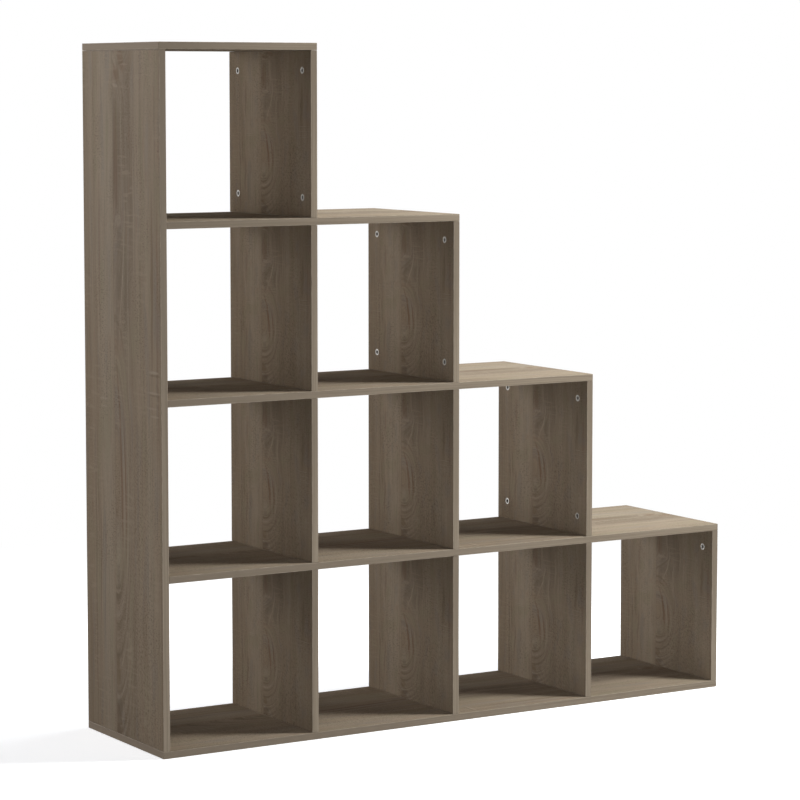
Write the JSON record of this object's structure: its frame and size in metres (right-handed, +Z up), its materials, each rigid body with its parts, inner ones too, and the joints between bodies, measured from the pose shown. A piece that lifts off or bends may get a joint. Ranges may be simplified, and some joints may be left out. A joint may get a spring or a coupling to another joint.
{
  "type": "bookcase",
  "caption": "Stepped open-backed cube bookcase of thin wood-look boards, its rows one compartment shorter towards the top, joined by cam connectors, dowels and screws.",
  "frame": {"origin": "on the floor, under the middle of the width and the depth", "axes": "+Z up, -Y out of the front, +X to the right of someone facing the front, towards the low end of the steps"},
  "size_m": [1.415, 0.355, 1.459],
  "materials": {
    "grey_brown_oak_board": "matt melamine with a grey-brown oak grain",
    "die_cast_zinc": "bare die-cast zinc",
    "beech": "raw fluted beech",
    "zinc_plated_steel": "bright zinc plate"
  },
  "bodies": {
    "root": {"bottom_board": "grey_brown_oak_board", "shelf_level_1": "grey_brown_oak_board", "shelf_level_2": "grey_brown_oak_board", "shelf_level_3": "grey_brown_oak_board", "top_board": "grey_brown_oak_board", "left_side": "grey_brown_oak_board", "divider_row_1_1": "grey_brown_oak_board", "divider_row_1_2": "grey_brown_oak_board", "divider_row_1_3": "grey_brown_oak_board", "right_side_row_1": "grey_brown_oak_board", "divider_row_2_1": "grey_brown_oak_board", "divider_row_2_2": "grey_brown_oak_board", "right_side_row_2": "grey_brown_oak_board", "divider_row_3_1": "grey_brown_oak_board", "right_side_row_3": "grey_brown_oak_board", "right_side_row_4": "grey_brown_oak_board", "cam_left_side_top_back": "die_cast_zinc", "cam_left_side_top_front": "die_cast_zinc", "cam_right_side_row_1_top_back": "die_cast_zinc", "cam_right_side_row_1_top_front": "die_cast_zinc", "cam_right_side_row_2_bottom_back": "die_cast_zinc", "cam_right_side_row_2_bottom_front": "die_cast_zinc", "cam_right_side_row_2_top_back": "die_cast_zinc", "cam_right_side_row_2_top_front": "die_cast_zinc", "cam_right_side_row_3_bottom_back": "die_cast_zinc", "cam_right_side_row_3_bottom_front": "die_cast_zinc", "cam_right_side_row_3_top_back": "die_cast_zinc", "cam_right_side_row_3_top_front": "die_cast_zinc", "cam_right_side_row_4_bottom_back": "die_cast_zinc", "cam_right_side_row_4_bottom_front": "die_cast_zinc", "cam_right_side_row_4_top_back": "die_cast_zinc", "cam_right_side_row_4_top_front": "die_cast_zinc", "cam_shelf_level_1_back": "die_cast_zinc", "cam_shelf_level_1_front": "die_cast_zinc", "cam_shelf_level_2_back": "die_cast_zinc", "cam_shelf_level_2_front": "die_cast_zinc", "cam_shelf_level_3_back": "die_cast_zinc", "cam_shelf_level_3_front": "die_cast_zinc", "dowel_shelf_level_1_column_1_back": "beech", "dowel_shelf_level_1_column_1_front": "beech", "dowel_shelf_level_1_column_2_back": "beech", "dowel_shelf_level_1_column_2_front": "beech", "dowel_shelf_level_1_column_3_back": "beech", "dowel_shelf_level_1_column_3_front": "beech", "dowel_shelf_level_2_column_1_back": "beech", "dowel_shelf_level_2_column_1_front": "beech", "dowel_shelf_level_2_column_2_back": "beech", "dowel_shelf_level_2_column_2_front": "beech", "dowel_shelf_level_3_column_1_back": "beech", "dowel_shelf_level_3_column_1_front": "beech", "screw_column_0_back": "zinc_plated_steel", "screw_column_0_front": "zinc_plated_steel", "screw_column_1_back": "zinc_plated_steel", "screw_column_1_front": "zinc_plated_steel", "screw_column_2_back": "zinc_plated_steel", "screw_column_2_front": "zinc_plated_steel", "screw_column_3_back": "zinc_plated_steel", "screw_column_3_front": "zinc_plated_steel", "screw_column_4_back": "zinc_plated_steel", "screw_column_4_front": "zinc_plated_steel"}
  },
  "joints": []
}
